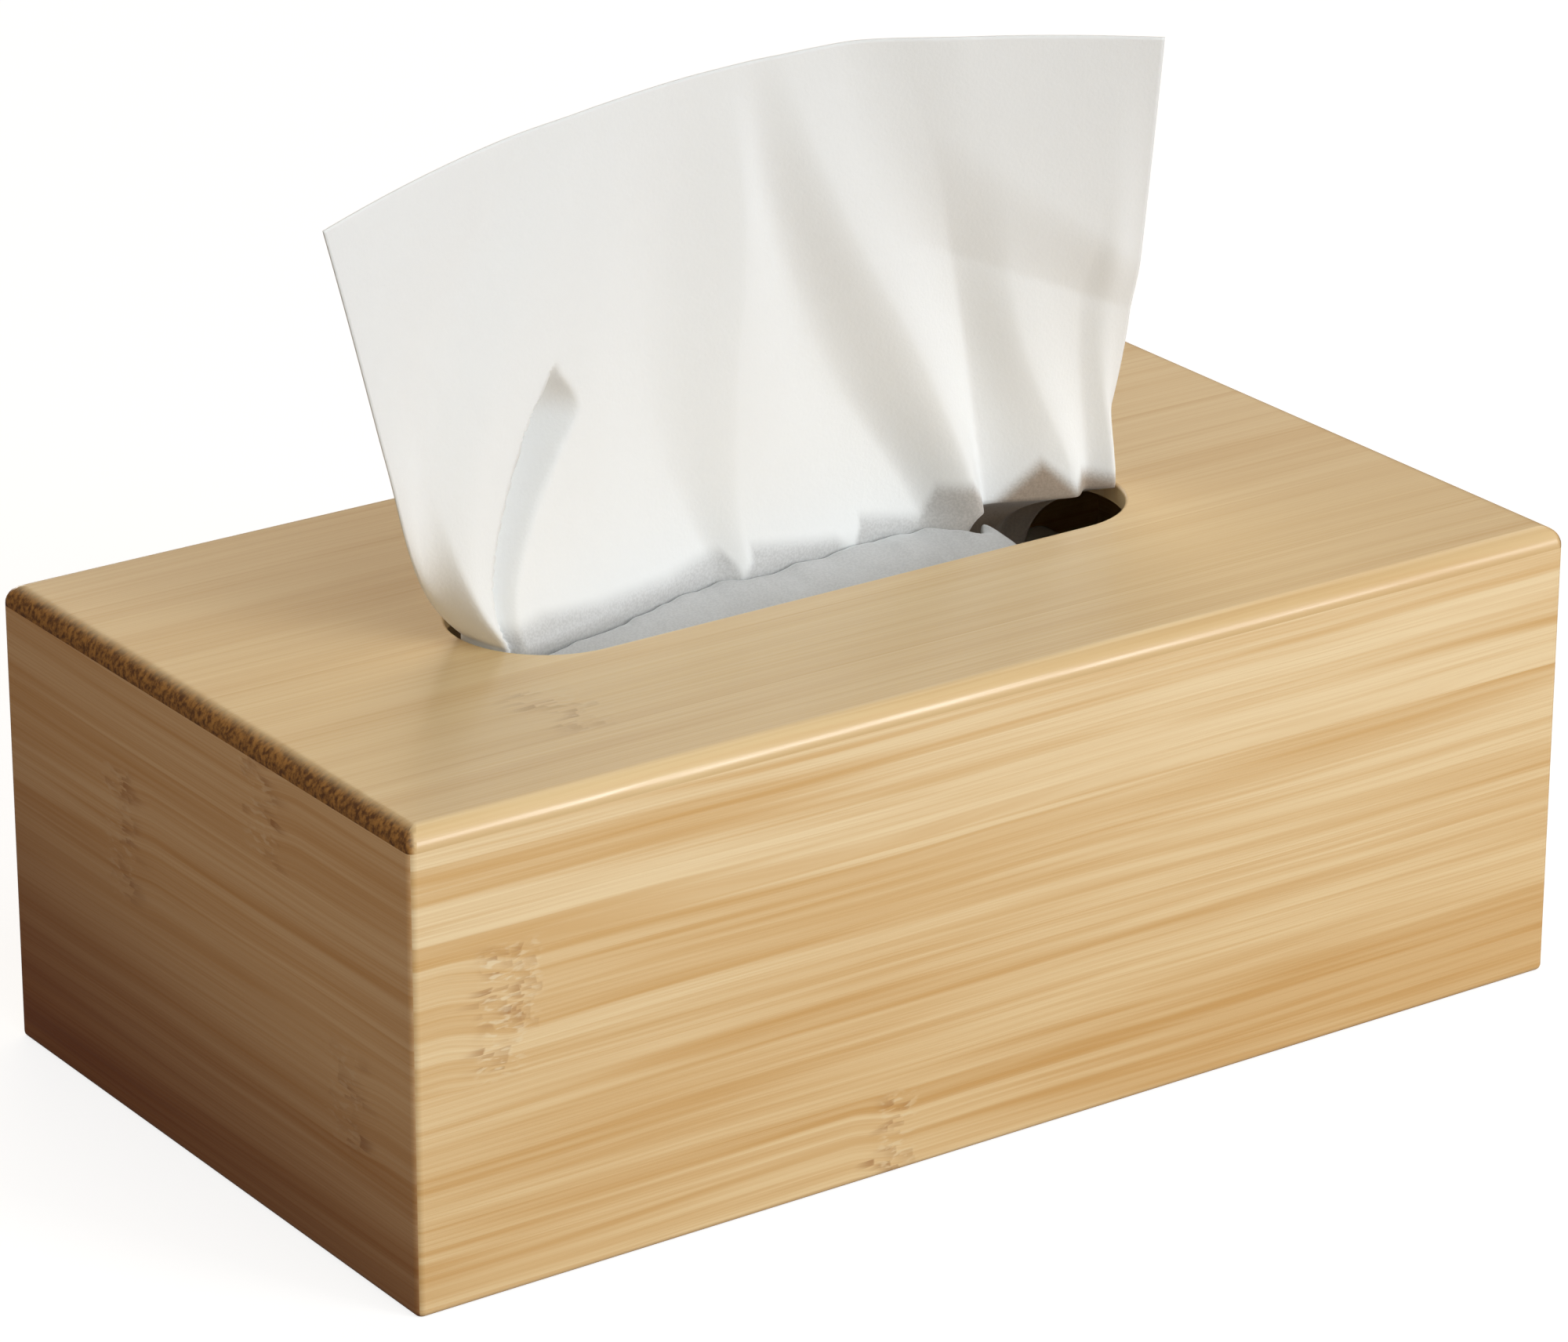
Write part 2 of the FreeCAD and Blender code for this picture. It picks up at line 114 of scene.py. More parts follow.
# %% Helpers for sums, steps, noise and blends
def maths(tree, operation, first, second=0.0, clamp=False):
    return add(tree, "ShaderNodeMath", {0: first, 1: second}, operation=operation, use_clamp=clamp).outputs[0]


def ramp(tree, value, low, high, from_value=0.0, to_value=1.0):
    """A smooth step: from_value below low, to_value above high."""
    node = add(tree, "ShaderNodeMapRange", {0: value, 1: low, 2: high, 3: from_value, 4: to_value},
               interpolation_type="SMOOTHSTEP")
    return node.outputs[0]


def noise(tree, vector, detail=2.0, roughness=0.5):
    node = add(tree, "ShaderNodeTexNoise", {"Vector": vector, "Scale": 1.0, "Detail": detail,
                                            "Roughness": roughness})
    return node.outputs[0]


def point(tree, x, y, z=0.0):
    return add(tree, "ShaderNodeCombineXYZ", {0: x, 1: y, 2: z}).outputs[0]


def blend(tree, share, first, second, kind="MIX"):
    node = add(tree, "ShaderNodeMix", data_type="RGBA", blend_type=kind, clamp_factor=True)
    for socket, value in ((0, share), (6, first), (7, second)):
        if isinstance(value, bpy.types.NodeSocket):
            tree.links.new(value, node.inputs[socket])
        else:
            node.inputs[socket].default_value = value
    return node.outputs[2]


# %% [markdown]
# ## Node groups
# A group is a small tree that several materials share, with named inputs and outputs. Whoever changes the
# group changes every board at once, and each material still gives it values of its own.

# %% Helpers for node groups
def new_group(name, inputs, outputs):
    """A shader node group with named sockets, and its two end nodes."""
    group = bpy.data.node_groups.new(name, "ShaderNodeTree")
    for label, default in inputs:
        socket = group.interface.new_socket(label, in_out="INPUT", socket_type="NodeSocketFloat")
        socket.default_value = default
    for label in outputs:
        group.interface.new_socket(label, in_out="OUTPUT", socket_type="NodeSocketFloat")
    return group, group.nodes.new("NodeGroupInput"), group.nodes.new("NodeGroupOutput")


def use_group(tree, group, **inputs):
    """Places a group in a tree. Underscores in an input's name stand for spaces."""
    node = tree.nodes.new("ShaderNodeGroup")
    node.node_tree = group
    for label, value in inputs.items():
        socket = node.inputs[label.replace("_", " ")]
        if isinstance(value, bpy.types.NodeSocket):
            tree.links.new(value, socket)
        else:
            socket.default_value = value
    return node


print("group helpers ready")

# %% [markdown]
# ## Bamboo grain
# A bamboo board is laid up from strips about 24 mm wide. Each strip is full of long straight fibres, so its
# face shows fine hairlines and broader light and dark streaks, which all run with the grain and wander a
# little. The pattern is noise that is stretched a hundred times along the grain. The group takes the place
# along and across the grain in metres, and puts out how dark the streaks are and how the fibres stand.

# %% The bamboo grain group
STRIP_WIDTH = 0.0245
WANDER = 0.0016
JOINT_SHARE, JOINT_EDGE = 0.004, 0.012
# each kind of streak: how fine it is along and across the grain, its detail, its seed and its two limits
BROAD_STREAKS = (5.0, 190.0, 2.0, 0.0, 0.38, 0.66)
MEDIUM_STREAKS = (9.0, 620.0, 3.0, 11.0, 0.40, 0.68)
HAIRLINES = (16.0, 2400.0, 2.0, 23.0, 0.42, 0.66)
BROAD_SHARE, MEDIUM_SHARE = 0.55, 0.45


def make_grain_group():
    group, given, result = new_group(
        "bamboo grain",
        [("Along", 0.0), ("Across", 0.0), ("Depth", 0.0), ("Board", 0.0), ("Strip width", STRIP_WIDTH),
         ("First joint", 0.0), ("Wander", WANDER)],
        ["Streaks", "Hairlines", "Strip tone", "Joint", "Fibre height"])
    along, across, depth = given.outputs["Along"], given.outputs["Across"], given.outputs["Depth"]
    board = given.outputs["Board"]

    slow = noise(group, point(group, maths(group, "MULTIPLY", along, 9.0),
                              maths(group, "MULTIPLY", across, 25.0), board), detail=1.5)
    sway = maths(group, "MULTIPLY", maths(group, "SUBTRACT", slow, 0.5), given.outputs["Wander"])
    wavy = maths(group, "ADD", across, maths(group, "MULTIPLY", sway, 2.0))

    shifted = maths(group, "SUBTRACT", across, given.outputs["First joint"])
    count = maths(group, "DIVIDE", shifted, given.outputs["Strip width"])
    strip = maths(group, "FLOOR", count)
    part = maths(group, "FRACT", count)
    from_joint = maths(group, "MINIMUM", part, maths(group, "SUBTRACT", 1.0, part))
    joint = ramp(group, from_joint, JOINT_SHARE, JOINT_EDGE, 1.0, 0.0)
    strip_seed = maths(group, "ADD", maths(group, "MULTIPLY", strip, 3.7), board)
    tone = add(group, "ShaderNodeTexWhiteNoise", {"W": strip_seed}, noise_dimensions="1D").outputs[0]

    def stretched(along_scale, across_scale, detail, seed_shift, low, high):
        seed = maths(group, "ADD", strip_seed, maths(group, "ADD", seed_shift,
                                                     maths(group, "MULTIPLY", depth, 60.0)))
        pattern = noise(group, point(group, maths(group, "MULTIPLY", along, along_scale),
                                     maths(group, "MULTIPLY", wavy, across_scale), seed), detail, 0.55)
        return ramp(group, pattern, low, high)

    broad = stretched(*BROAD_STREAKS)
    medium = stretched(*MEDIUM_STREAKS)
    hair = stretched(*HAIRLINES)
    streaks = maths(group, "ADD", maths(group, "MULTIPLY", broad, BROAD_SHARE),
                    maths(group, "MULTIPLY", medium, MEDIUM_SHARE))
    for label, value in (("Streaks", streaks), ("Hairlines", hair), ("Strip tone", tone), ("Joint", joint),
                         ("Fibre height", maths(group, "SUBTRACT", 1.0, hair))):
        group.links.new(value, result.inputs[label])
    return group


grain_group = make_grain_group()
print("grain group", len(grain_group.nodes), "nodes")

# %% [markdown]
# ## Bamboo nodes
# A bamboo stem is closed at each knuckle, and a strip that was cut through one shows it as a short band
# across the strip: the fibres there are brown dashes that fade out on one side and end sharply on the other,
# with pale flecks beyond their ends, and the whole grain makes a small step sideways. One group draws one
# such band, at its place along the grain and between the two joints of its strip. Every fibre is a thin row
# of its own, with its own end point and darkness by chance.

# %% The bamboo node group
SOFT_SIDE = (-0.0005, 0.0030)
BOW_SCALE, BOW_REACH = 110.0, 2.2
BEND_ALONG, BEND_ACROSS, BEND_SWAY = 120.0, 160.0, 0.0022
# three layers of fibres: how many rows to the metre, how far they are shifted, and how dark they are
FIBRE_LAYERS = ((820.0, 0.0, 0.75), (1450.0, 0.35, 0.60), (600.0, 1.1, 0.40))


def make_node_mark_group():
    group, given, result = new_group(
        "bamboo node mark",
        [("Along", 0.0), ("Across", 0.0), ("Place", 0.0), ("Low", 0.0), ("High", 0.024), ("Reach", 0.005),
         ("Strength", 1.0), ("Seed", 0.0)],
        ["Dark", "Pale", "Step"])
    along, across = given.outputs["Along"], given.outputs["Across"]
    low, high, reach = given.outputs["Low"], given.outputs["High"], given.outputs["Reach"]
    seed, strength = given.outputs["Seed"], given.outputs["Strength"]
    away = maths(group, "SUBTRACT", along, given.outputs["Place"])
    inside = maths(group, "MULTIPLY", ramp(group, maths(group, "SUBTRACT", across, low), *SOFT_SIDE),
                   ramp(group, maths(group, "SUBTRACT", high, across), *SOFT_SIDE))
    inside = maths(group, "MULTIPLY", inside, strength)

    bow = noise(group, point(group, maths(group, "MULTIPLY", across, BOW_SCALE), seed), 1.0)
    bow = maths(group, "MULTIPLY", maths(group, "SUBTRACT", bow, 0.5),
                maths(group, "MULTIPLY", reach, BOW_REACH))
    flow = noise(group, point(group, maths(group, "MULTIPLY", along, BEND_ALONG),
                              maths(group, "MULTIPLY", across, BEND_ACROSS), seed), 1.0)
    bent = maths(group, "ADD", across,
                 maths(group, "MULTIPLY", maths(group, "SUBTRACT", flow, 0.5), BEND_SWAY))
    dark = 0.0
    for rows_per_metre, shift, share in FIBRE_LAYERS:
        fibre = maths(group, "FLOOR", maths(group, "MULTIPLY", bent, rows_per_metre))
        chance = add(group, "ShaderNodeTexWhiteNoise", {"W": maths(group, "ADD", fibre, seed)},
                     noise_dimensions="1D")
        channels = add(group, "ShaderNodeSeparateColor", {0: chance.outputs["Color"]})
        end = maths(group, "MULTIPLY", maths(group, "ADD", channels.outputs[0], shift), reach)
        before_end = maths(group, "SUBTRACT", maths(group, "ADD", end, bow), away)
        before_end = maths(group, "DIVIDE", before_end, reach)
        dash = maths(group, "MULTIPLY", ramp(group, before_end, 0.0, 0.10),
                     ramp(group, before_end, 0.05, 1.15, 1.0, 0.0))
        weight = maths(group, "MULTIPLY", ramp(group, channels.outputs[1], 0.15, 0.85), share)
        dark = maths(group, "MAXIMUM", dark, maths(group, "MULTIPLY", dash, weight))
    patchy = ramp(group, noise(group, point(group, maths(group, "MULTIPLY", along, 90.0),
                                            maths(group, "MULTIPLY", across, 190.0),
                                            maths(group, "ADD", seed, 5.0)), 1.0), 0.35, 0.60)
    dark = maths(group, "MULTIPLY", maths(group, "MULTIPLY", dark, inside), patchy)

    fleck = ramp(group, noise(group, point(group, maths(group, "MULTIPLY", along, 330.0),
                                           maths(group, "MULTIPLY", bent, 1000.0),
                                           maths(group, "ADD", seed, 9.0)), 1.5), 0.52, 0.66)
    beyond = maths(group, "DIVIDE", maths(group, "SUBTRACT", away, bow), reach)
    beyond = maths(group, "MULTIPLY", ramp(group, beyond, -0.2, 0.5), ramp(group, beyond, 1.2, 2.4, 1.0, 0.0))
    pale = maths(group, "MULTIPLY", maths(group, "MULTIPLY", fleck, beyond), inside)
    step = ramp(group, maths(group, "DIVIDE", away, reach), -1.5, 1.5, -0.5, 0.5)
    step = maths(group, "MULTIPLY", step, inside)
    group.links.new(dark, result.inputs["Dark"])
    group.links.new(pale, result.inputs["Pale"])
    group.links.new(step, result.inputs["Step"])
    return group


node_mark_group = make_node_mark_group()
print("node mark group", len(node_mark_group.nodes), "nodes")

# %% [markdown]
# ## The bamboo boards
# The same finish goes on every board, but the grain runs along the length of each board, so the side boards
# swap two axes. The top board also shows its end grain where its two ends are rounded over: cut across, the
# fibres drink the lacquer and turn dark brown. The surface normal tells where an end is. A thin satin
# lacquer lies over the bamboo as the shader's coat. Three boards also carry painted shade: their colour
# grows darker and warmer towards one side.

# %% Colours and shares of the bamboo finish
BAMBOO_LIGHT = colour(242, 219, 177)
BAMBOO_BASE = colour(231, 203, 155)
BAMBOO_DARK = colour(211, 168, 107)
NODE_BROWN = colour(160, 108, 58)
NODE_PALE = colour(240, 222, 186)
GRAIN_STEP = 0.0022
END_LIGHT = colour(176, 124, 62)
END_DARK = colour(96, 58, 22)
END_START, END_SOFTNESS = 0.112, 0.005
END_SLOPE = (0.10, 0.80)
END_ROUGHER = 0.22
END_SPECKS = {"X": 500.0, "Y": 900.0, "Z": 900.0}
HAIRLINE_SHARE, STRIP_SHARE, JOINT_DARKNESS, PALE_SHARE = 0.28, 0.30, 0.25, 0.7
SATIN_ROUGHNESS = (0.36, 0.48)
FIBRE_BUMP, FIBRE_HEIGHT = 0.10, 0.0001
COAT_WEIGHT, COAT_ROUGHNESS, SPECULAR_LEVEL = 0.25, 0.22, 0.4
UNTINTED = (1.0, 1.0, 1.0, 1)
print("bamboo runs from", BAMBOO_LIGHT[:3], "to", BAMBOO_DARK[:3])


# %% Bamboo material
def end_grain(tree, normal, axes, end_axis):
    """The colour of cut fibres, and a mask of where a board's two ends are rounded over."""
    facing = maths(tree, "ABSOLUTE", normal.outputs[end_axis])
    outer = ramp(tree, maths(tree, "ABSOLUTE", axes.outputs[end_axis]), END_START, END_START + END_SOFTNESS)
    facing = maths(tree, "MULTIPLY", facing, outer)
    spread = (maths(tree, "MULTIPLY", axes.outputs[axis], scale) for axis, scale in END_SPECKS.items())
    speck = noise(tree, point(tree, *spread), 4.0, 0.6)
    return blend(tree, ramp(tree, speck, 0.35, 0.65), END_DARK, END_LIGHT), facing


def painted_board_shade(tree, place, tone):
    """The painted shade of a board at each place, as a colour that its wood is multiplied by."""
    direction, low, high, low_colour, high_colour = tone
    painted_shade_place = add(tree, "ShaderNodeVectorMath", {0: place.outputs["Object"], 1: direction},
                     operation="DOT_PRODUCT").outputs["Value"]
    return blend(tree, ramp(tree, painted_shade_place, low, high), low_colour, high_colour)


def bamboo_material(name, along_axis, across_axis, board, marks=(), end_axis=None, streaks=1.0, tone=None,
                    first_joint=0.0):
    material = bpy.data.materials.new(name)
    material.use_nodes = True
    tree = material.node_tree
    shader = tree.nodes["Principled BSDF"]
    place = add(tree, "ShaderNodeTexCoord")
    axes = add(tree, "ShaderNodeSeparateXYZ", {0: place.outputs["Object"]})
    depth_axis = next(axis for axis in "XYZ" if axis not in (along_axis, across_axis))
    along, across, depth = (axes.outputs[axis] for axis in (along_axis, across_axis, depth_axis))
    knuckles = [use_group(tree, node_mark_group, Along=along, Across=across, **mark) for mark in marks]
    stepped = across
    for knuckle in knuckles:
        stepped = maths(tree, "ADD", stepped, maths(tree, "MULTIPLY", knuckle.outputs["Step"], GRAIN_STEP))
    grain = use_group(tree, grain_group, Along=along, Across=stepped, Depth=depth, Board=board,
                      First_joint=first_joint)

    wood = blend(tree, maths(tree, "MULTIPLY", grain.outputs["Streaks"], streaks, clamp=True),
                 BAMBOO_LIGHT, BAMBOO_DARK)
    wood = blend(tree, maths(tree, "MULTIPLY", grain.outputs["Hairlines"], HAIRLINE_SHARE * streaks),
                 wood, BAMBOO_DARK)
    wood = blend(tree, maths(tree, "MULTIPLY", grain.outputs["Strip tone"], STRIP_SHARE), wood, BAMBOO_BASE)
    wood = blend(tree, maths(tree, "MULTIPLY", grain.outputs["Joint"], JOINT_DARKNESS), wood, BAMBOO_DARK)
    for knuckle in knuckles:
        wood = blend(tree, knuckle.outputs["Dark"], wood, NODE_BROWN)
        wood = blend(tree, maths(tree, "MULTIPLY", knuckle.outputs["Pale"], PALE_SHARE), wood, NODE_PALE)
    # painted shade: the wood is multiplied by a colour that darkens one side of the board
    if tone:
        wood = blend(tree, 1.0, wood, painted_board_shade(tree, place, tone), "MULTIPLY")

    roughness = ramp(tree, grain.outputs["Hairlines"], 0.0, 1.0, *SATIN_ROUGHNESS)
    if end_axis:
        normal = add(tree, "ShaderNodeSeparateXYZ", {0: place.outputs["Normal"]})
        end, facing = end_grain(tree, normal, axes, end_axis)
        wood = blend(tree, ramp(tree, facing, *END_SLOPE), wood, end)
        roughness = maths(tree, "ADD", roughness, ramp(tree, facing, *END_SLOPE, 0.0, END_ROUGHER))

    tree.links.new(wood, shader.inputs["Base Color"])
    tree.links.new(roughness, shader.inputs["Roughness"])
    bump = add(tree, "ShaderNodeBump", {"Height": grain.outputs["Fibre height"], "Strength": FIBRE_BUMP,
                                        "Distance": FIBRE_HEIGHT})
    tree.links.new(bump.outputs[0], shader.inputs["Normal"])
    shader.inputs["Coat Weight"].default_value = COAT_WEIGHT
    shader.inputs["Coat Roughness"].default_value = COAT_ROUGHNESS
    shader.inputs["Specular IOR Level"].default_value = SPECULAR_LEVEL
    return material


print("bamboo material ready")

# %% [markdown]
# ## What is special to each board
# No two strips of bamboo are alike. A board's painted shade runs from one colour to another along a
# direction, given with the places where it starts and ends. The knuckle bands lie where the photograph shows
# them, each with its place along the grain and the two joints that it ends at.

# %% Painted shade and knuckle bands of the boards
# painted shade: the front darkens towards its foot, the top towards its front left, the left side strongly
# towards its foot and back
FRONT_PAINTED_SHADE = ((0, 0, 1), 0.0, 0.09, (0.93, 0.87, 0.77, 1), UNTINTED)
TOP_PAINTED_SHADE = ((0.4, 1, 0), -0.06, 0.09, (0.85, 0.80, 0.70, 1), UNTINTED)
LEFT_PAINTED_SHADE = ((0, -0.2, 1), -0.012, 0.06, (0.34, 0.14, 0.03, 1), (1.0, 0.86, 0.78, 1))
FRONT_MARKS = (
    {"Place": -0.1135, "Low": 0.0400, "High": 0.0660, "Reach": 0.0052, "Seed": 1.0},
    {"Place": -0.1060, "Low": 0.0480, "High": 0.0660, "Reach": 0.0030, "Strength": 0.7, "Seed": 21.0},
    {"Place": -0.0300, "Low": -0.0060, "High": 0.0165, "Reach": 0.0045, "Strength": 0.9, "Seed": 2.0},
)
TOP_MARKS = (
    {"Place": -0.0800, "Low": -0.0500, "High": -0.0270, "Reach": 0.0060, "Strength": 0.6, "Seed": 3.0},
)
LEFT_MARKS = (
    {"Place": 0.0236, "Low": 0.0420, "High": 0.0690, "Reach": 0.0060, "Strength": 0.8, "Seed": 4.0},
    {"Place": -0.0264, "Low": 0.0670, "High": 0.0900, "Reach": 0.0060, "Strength": 0.9, "Seed": 5.0},
    {"Place": -0.0525, "Low": 0.0230, "High": 0.0440, "Reach": 0.0060, "Strength": 0.8, "Seed": 6.0},
)


print("knuckle bands", len(FRONT_MARKS) + len(TOP_MARKS) + len(LEFT_MARKS))


# %% Dress the boards
def dress(node_name, material):
    """Gives a carried-over piece its finish."""
    materials = nodes[node_name].data.materials
    materials.clear()
    materials.append(material)


dress("front_wall", bamboo_material("bamboo front", "X", "Z", 1.3, FRONT_MARKS, tone=FRONT_PAINTED_SHADE,
                                    first_joint=0.016))
dress("back_wall", bamboo_material("bamboo back", "X", "Z", 7.9))
dress("left_wall", bamboo_material("bamboo left", "Y", "Z", 12.4, LEFT_MARKS, tone=LEFT_PAINTED_SHADE))
dress("right_wall", bamboo_material("bamboo right", "Y", "Z", 17.1))
dress("top_panel", bamboo_material("bamboo top", "X", "Y", 23.5, TOP_MARKS, end_axis="X", streaks=0.48,
                                   tone=TOP_PAINTED_SHADE))
dress("base_panel", bamboo_material("bamboo base", "X", "Y", 31.2, streaks=0.7))
print("bamboo boards dressed")

# %% [markdown]
# ## Tissue paper
# Tissue is soft, white and matt, and thin enough that light spreads inside it. Under a low lamp its surface
# shows a fine crepe and a pressed grain, which is bump here, while its folds are real shape further on.

# %% Crepe group
CREPE_SCALE, PILLOW_SCALE = 1500.0, 190.0


def make_crepe_group():
    group, given, result = new_group("tissue crepe", [("Crepe", 1.0), ("Pillow", 1.0)], ["Height"])
    place = add(group, "ShaderNodeTexCoord").outputs["Object"]
    fine = add(group, "ShaderNodeTexNoise", {"Vector": place, "Scale": CREPE_SCALE, "Detail": 3.0})
    soft = add(group, "ShaderNodeTexNoise", {"Vector": place, "Scale": PILLOW_SCALE, "Detail": 2.0})
    crepe = maths(group, "MULTIPLY", fine.outputs[0], given.outputs["Crepe"])
    pillow = maths(group, "MULTIPLY", soft.outputs[0], given.outputs["Pillow"])
    group.links.new(maths(group, "ADD", crepe, pillow), result.inputs["Height"])
    return group


crepe_group = make_crepe_group()
print("crepe group", len(crepe_group.nodes), "nodes")

# %% [markdown]
# ## Painted shade near the slot
# Down in the slot the tissue lies in shade, and that shade is painted into its colour: greyer and a little
# mottled, and browner at the right. Each sheet carries the painted shade as a colour at its points, which is
# white everywhere else. Only the side towards the front shows it, so the material looks at the surface normal
# and leaves the back white.

# %% Tissue material
TISSUE_WHITE = colour(231, 234, 235)
SHADE_NAME = "slot shade"
CREPE, PILLOW, CREPE_BUMP, CREPE_DEPTH = 0.8, 0.6, 0.5, 0.00012
# painted shade: the grey parts are mottled between these two colours
MOTTLE_SCALE, MOTTLE_LIMITS = 2200.0, (0.35, 0.65)
MOTTLE_DARK, MOTTLE_LIGHT = (0.91, 0.91, 0.91, 1), (1.05, 1.05, 1.05, 1)
SHADED_BELOW, WHITE_ABOVE = 0.65, 0.95
BACK_FROM, BACK_FULL = 0.0, 0.3
TISSUE_SHADER = {"Roughness": 0.95, "Specular IOR Level": 0.15, "Sheen Weight": 0.15,
                 "Subsurface Weight": 0.35, "Subsurface Radius": (1.0, 1.0, 0.95), "Subsurface Scale": 0.0015}


def paper_with_painted_shade(tree):
    """The tissue's white, with painted shade: greyer and mottled where its points carry the slot's painted
    shade.
    """
    # painted shade, read from the colours of the points
    tone = add(tree, "ShaderNodeVertexColor", layer_name=SHADE_NAME).outputs["Color"]
    coordinates = add(tree, "ShaderNodeTexCoord")
    facing = add(tree, "ShaderNodeSeparateXYZ", {0: coordinates.outputs["Normal"]}).outputs["Y"]
    tone = blend(tree, ramp(tree, facing, BACK_FROM, BACK_FULL), tone, UNTINTED)
    speck = add(tree, "ShaderNodeTexNoise", {"Vector": coordinates.outputs["Object"], "Scale": MOTTLE_SCALE,
                                             "Detail": 3.0}).outputs[0]
    mottle = blend(tree, ramp(tree, speck, *MOTTLE_LIMITS), MOTTLE_DARK, MOTTLE_LIGHT)
    green = add(tree, "ShaderNodeSeparateColor", {0: tone}).outputs[1]
    mottle = blend(tree, ramp(tree, green, SHADED_BELOW, WHITE_ABOVE, 1.0, 0.0), UNTINTED, mottle)
    paper = blend(tree, 1.0, TISSUE_WHITE, tone, "MULTIPLY")
    return blend(tree, 1.0, paper, mottle, "MULTIPLY")


def tissue_material(name, with_painted_shade):
    material = bpy.data.materials.new(name)
    material.use_nodes = True
    tree = material.node_tree
    shader = tree.nodes["Principled BSDF"]
    shader.inputs["Base Color"].default_value = TISSUE_WHITE
    # the painted shade near the slot goes into the base colour
    if with_painted_shade:
        tree.links.new(paper_with_painted_shade(tree), shader.inputs["Base Color"])
    for socket, value in TISSUE_SHADER.items():
        shader.inputs[socket].default_value = value
    crinkle = use_group(tree, crepe_group, Crepe=CREPE, Pillow=PILLOW)
    bump = add(tree, "ShaderNodeBump", {"Height": crinkle.outputs["Height"], "Strength": CREPE_BUMP,
                                        "Distance": CREPE_DEPTH})
    tree.links.new(bump.outputs[0], shader.inputs["Normal"])
    return material


tissue = tissue_material("tissue", with_painted_shade=True)
dress("tissue_stack", tissue_material("folded tissues", with_painted_shade=False))
print("tissue materials", tissue.name, "and folded tissues")

# %% [markdown]
# ## The pulled tissue
# The tissue is a thin sheet. Its lower part lies folded on the pack, and the rest stands out of the slot and
# fans out, because the slot gathers it below. A cloth simulation would crease it somewhere else each time, so
# the sheet is worked out instead, in millimetres: first a smooth sheet from the slot to its top edge, and
# then its folds.

# %% Sizes of the slot and the sheet
MM = 0.001
RIM_Z = 90.0
SLOT_LENGTH, SLOT_WIDTH = 144.0, 37.0
PACK_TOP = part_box("tissue_stack")[1].z / MM
PACK_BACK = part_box("tissue_stack")[1].y / MM
TISSUE_WIDTH = 188.0
SHEET_THICKNESS = 0.3
STANDING_HEIGHT = 95.3
TOP_EDGE_LEFT, TOP_EDGE_RIGHT = -107.0, 69.5
TOP_EDGE_FORWARD, TOP_EDGE_BACK = 15.0, 3.0
TOP_EDGE_DROP_LEFT, TOP_EDGE_DROP_RIGHT = 9.3, 4.3
TOP_EDGE_PEAK, TOP_EDGE_DROP_POWER = 128.0, 1.4
LEAN_POWER = 0.7
LEFT_BULGE, LEFT_BULGE_POWER = 0.35, 7
LINE_LEFT, LINE_MIDDLE, LINE_RIGHT = -8.0, 4.0, -2.0
LINE_RISE_END, LINE_FALL_START = 0.5, 0.65
END_GAP, END_BLEND_POWER = 1.2, 3
CURL_REACH = 0.45
LEFT_CURL, LEFT_CURL_REAR, LEFT_CURL_FRONT = 10.0, 5.0, -35.0
RIGHT_CURL, RIGHT_CURL_REAR, RIGHT_CURL_FRONT = 8.0, 10.0, -15.0


print("pack of tissues up to", round(PACK_TOP, 1), "rim at", RIM_Z)


# %% Helpers for smooth steps
def ease(value):
    value = min(max(value, 0.0), 1.0)
    return value * value * (3 - 2 * value)


def mix(first, second, share):
    return first + (second - first) * share


print("half way eased is", ease(0.5))

# %% [markdown]
# ## How the slot holds the sheet
# Seen from above, the sheet stands on a gently bent line along the slot. The slot is shorter than the tissue
# is wide, so the sheet's two side edges curl round the slot's round ends, a little off the wood.

# %% The sheet's line through the slot
def slot_line(x):
    """Where the sheet stands in the slot, behind its middle line, at a place along the slot."""
    share = (x + SLOT_LENGTH / 2) / SLOT_LENGTH
    line = mix(LINE_LEFT, LINE_MIDDLE, ease(share / LINE_RISE_END))
    return mix(line, LINE_RIGHT, ease((share - LINE_FALL_START) / (1 - LINE_FALL_START)))


def round_end(side, angle):
    radius = SLOT_WIDTH / 2 - END_GAP
    centre = SLOT_LENGTH / 2 - SLOT_WIDTH / 2
    return side * (centre + radius * math.cos(math.radians(angle))), radius * math.sin(math.radians(angle))


def rim_place(share):
    """Where a column of the sheet passes the rim: its two edges curl round the slot's ends."""
    left_share = LEFT_CURL / TISSUE_WIDTH
    right_share = RIGHT_CURL / TISSUE_WIDTH
    if share < left_share:
        return round_end(-1, mix(LEFT_CURL_REAR, LEFT_CURL_FRONT, share / left_share))
    if share > 1 - right_share:
        return round_end(1, mix(RIGHT_CURL_REAR, RIGHT_CURL_FRONT, (1 - share) / right_share))
    start_x, start_y = round_end(-1, LEFT_CURL_FRONT)
    end_x, end_y = round_end(1, RIGHT_CURL_FRONT)
    across = (share - left_share) / (1 - left_share - right_share)
    x = mix(start_x, end_x, across)
    ends = mix(start_y - slot_line(start_x), end_y - slot_line(end_x), across)
    return x, slot_line(x) + ends * abs(2 * across - 1) ** END_BLEND_POWER


print("the sheet enters the slot from x", round(rim_place(0.0)[0], 1), "to", round(rim_place(1.0)[0], 1))

# %% [markdown]
# ## Fold lines
# The slot's grip sends folds up through the sheet, and they fan out and fade towards the top edge. Each fold
# line runs from the slot to the top edge, as a ridge or a hollow, and the sheet passes smoothly from one line
# to the next. A sharp line is a crease, and a soft one is a wave.

